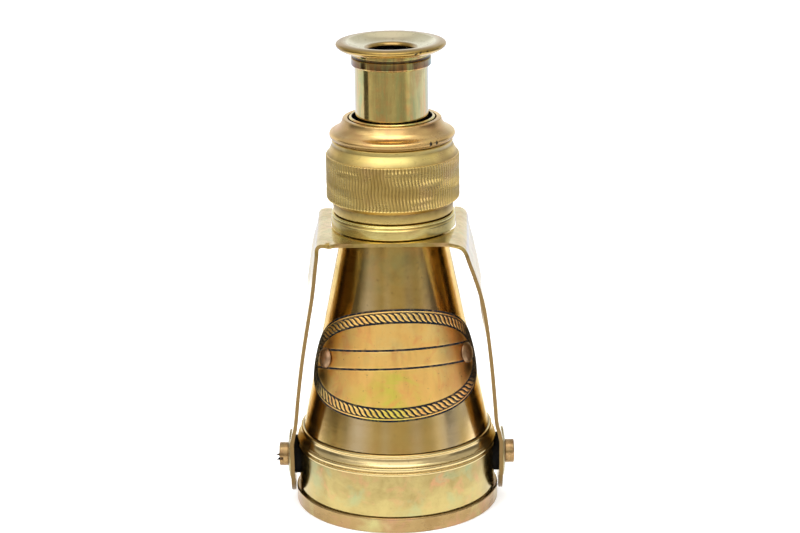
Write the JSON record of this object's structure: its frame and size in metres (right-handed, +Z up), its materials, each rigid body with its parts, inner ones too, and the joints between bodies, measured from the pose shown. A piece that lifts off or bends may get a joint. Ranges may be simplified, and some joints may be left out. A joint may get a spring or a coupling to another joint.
{
  "type": "telescope",
  "caption": "Short brass hand telescope with a conical barrel, knurled focusing ring, sliding draw tube with flared eyecup, and a U-shaped sheet bracket that swings on two side screws.",
  "frame": {"origin": "centre of the face of the base ring, on the optical axis, where the telescope stands on its objective end", "axes": "+Z runs up the optical axis to the eyecup, +X to the right pivot screw, -Y to the side with the plaque, towards which the bracket swings"},
  "size_m": [0.0798, 0.0684, 0.158],
  "materials": {
    "base_brass": "polished, aged",
    "drum_brass": "polished, with patina blotches",
    "barrel_brass": "satin, aged",
    "plaque_brass": "satin, etched and filled dark",
    "copper_rivet": "satin copper",
    "collar_brass": "polished",
    "knurled_brass": "knurled",
    "tube_brass": "polished, streaked",
    "eyecup_brass": "polished",
    "sheet_brass": "satin sheet",
    "screw_brass": "satin, aged",
    "blackened_brass": "matte black",
    "black_rubber": "matte",
    "steel": "plain",
    "lens_glass": "clear, uncoated"
  },
  "bodies": {
    "barrel": {"objective_cell": "base_brass", "crown_lens": "lens_glass", "flint_lens": "lens_glass", "objective_retainer": "blackened_brass", "objective_housing": "drum_brass", "barrel_cone": "barrel_brass", "baffle": "blackened_brass", "plaque": "plaque_brass", "plaque_rivets": "copper_rivet", "neck_collar": "collar_brass", "guide_sleeve": "tube_brass", "top_collar": "collar_brass", "left_spacer": "black_rubber", "right_spacer": "black_rubber", "left_washer": "sheet_brass", "right_washer": "sheet_brass", "pivot_screws": "screw_brass", "pivot_nuts": "screw_brass"},
    "focus_ring": {"focus_ring": "knurled_brass"},
    "draw_tube": {"draw_tube": "tube_brass", "focus_pin": "steel", "eye_lens": "lens_glass", "eye_retainer": "blackened_brass", "eye_ring": "tube_brass", "eyecup": "eyecup_brass"},
    "bracket": {"bracket": "sheet_brass"}
  },
  "joints": [
    {"name": "ring_turn", "type": "hinge", "parent": "barrel", "child": "focus_ring", "pos_m": [0, 0, 0.1135], "axis": [0, 0, 1], "range_deg": [-240, 30]},
    {"name": "tube_slide", "type": "slide", "parent": "barrel", "child": "draw_tube", "axis": [0, 0, 1], "range_m": [-0.0161, 0.0021]},
    {"name": "bracket_swing", "type": "hinge", "parent": "barrel", "child": "bracket", "pos_m": [0, 0, 0.0153], "axis": [1, 0, 0], "range_deg": [0, 110]}
  ],
  "couplings": [
    {"joint": "tube_slide", "follows": "ring_turn", "m_per_rad": 0.0038197}
  ]
}
